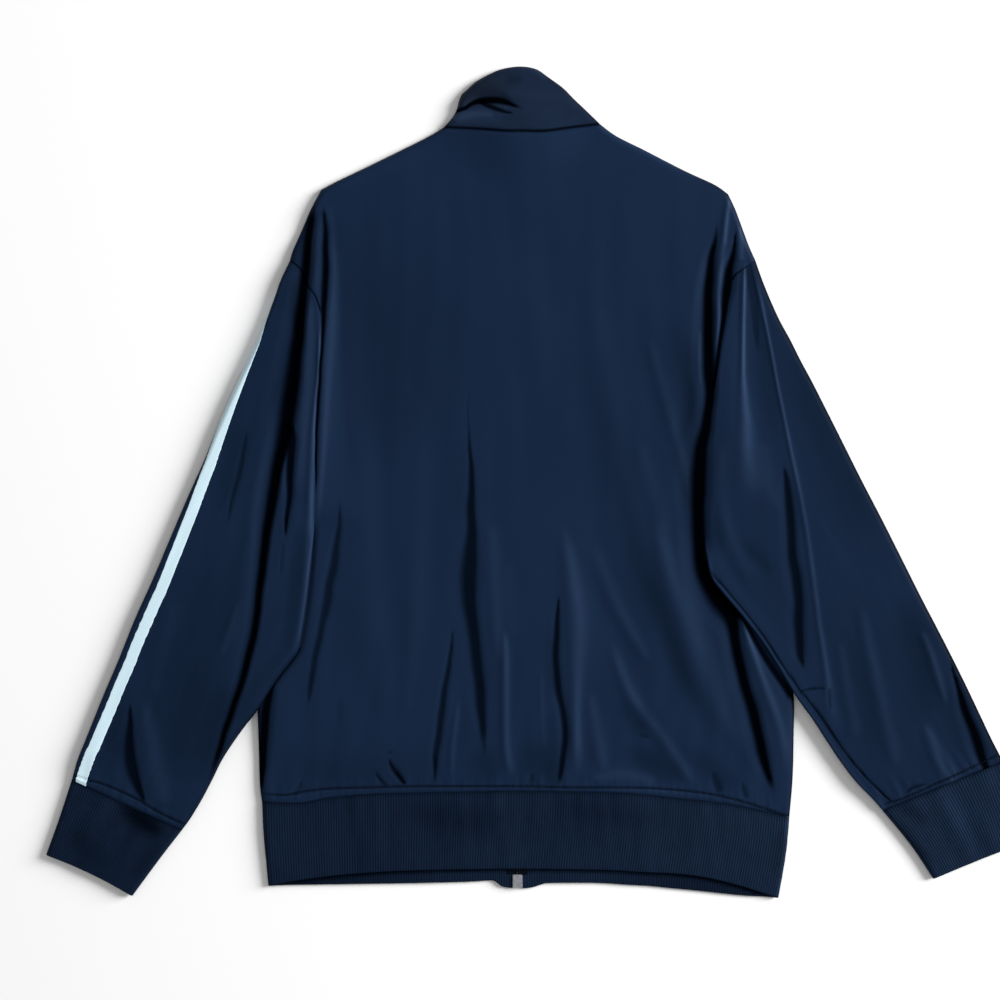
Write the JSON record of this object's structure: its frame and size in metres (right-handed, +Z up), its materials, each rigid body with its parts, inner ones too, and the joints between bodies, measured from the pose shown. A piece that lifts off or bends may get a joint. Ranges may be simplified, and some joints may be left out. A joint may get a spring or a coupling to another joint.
{
  "type": "track jacket",
  "caption": "Long-sleeved track jacket of smooth navy knit with a stand collar, rib waistband and cuffs and a pale tape down each sleeve, laid flat with its back up.",
  "frame": {"origin": "On the surface the jacket lies on, at the middle of its outline's bounding box.", "axes": "+X to the right when the back is seen from above with the collar at the top, which is also the wearer's right; +Y towards the collar; +Z up, out of the back panel."},
  "size_m": [0.912, 0.77, 0.0138],
  "materials": {
    "shell_knit": "smooth warp knit with a soft sheen",
    "rib_knit": "matt rib knit",
    "sleeve_tape": "matt woven tape",
    "zip_tape": "matt woven tape",
    "zip_metal": "satin plated"
  },
  "bodies": {
    "jacket": {"back": "shell_knit", "front_left": "shell_knit", "front_right": "shell_knit", "sleeve_left": "shell_knit", "sleeve_right": "shell_knit", "collar": "shell_knit", "hem_band": "rib_knit", "cuff_left": "rib_knit", "cuff_right": "rib_knit", "sleeve_tape_left": "sleeve_tape", "sleeve_tape_right": "sleeve_tape", "zip_tape_left": "zip_tape", "zip_tape_right": "zip_tape", "zip_box": "zip_metal", "zip_slider": "zip_metal"},
    "pull": {"zip_pull": "zip_metal"}
  },
  "joints": [
    {"name": "pull_swing", "type": "hinge", "parent": "jacket", "child": "pull", "pos_m": [-0.018, 0.331, 0.0032], "axis": [1, 0, 0], "range_deg": [0, 170]}
  ]
}
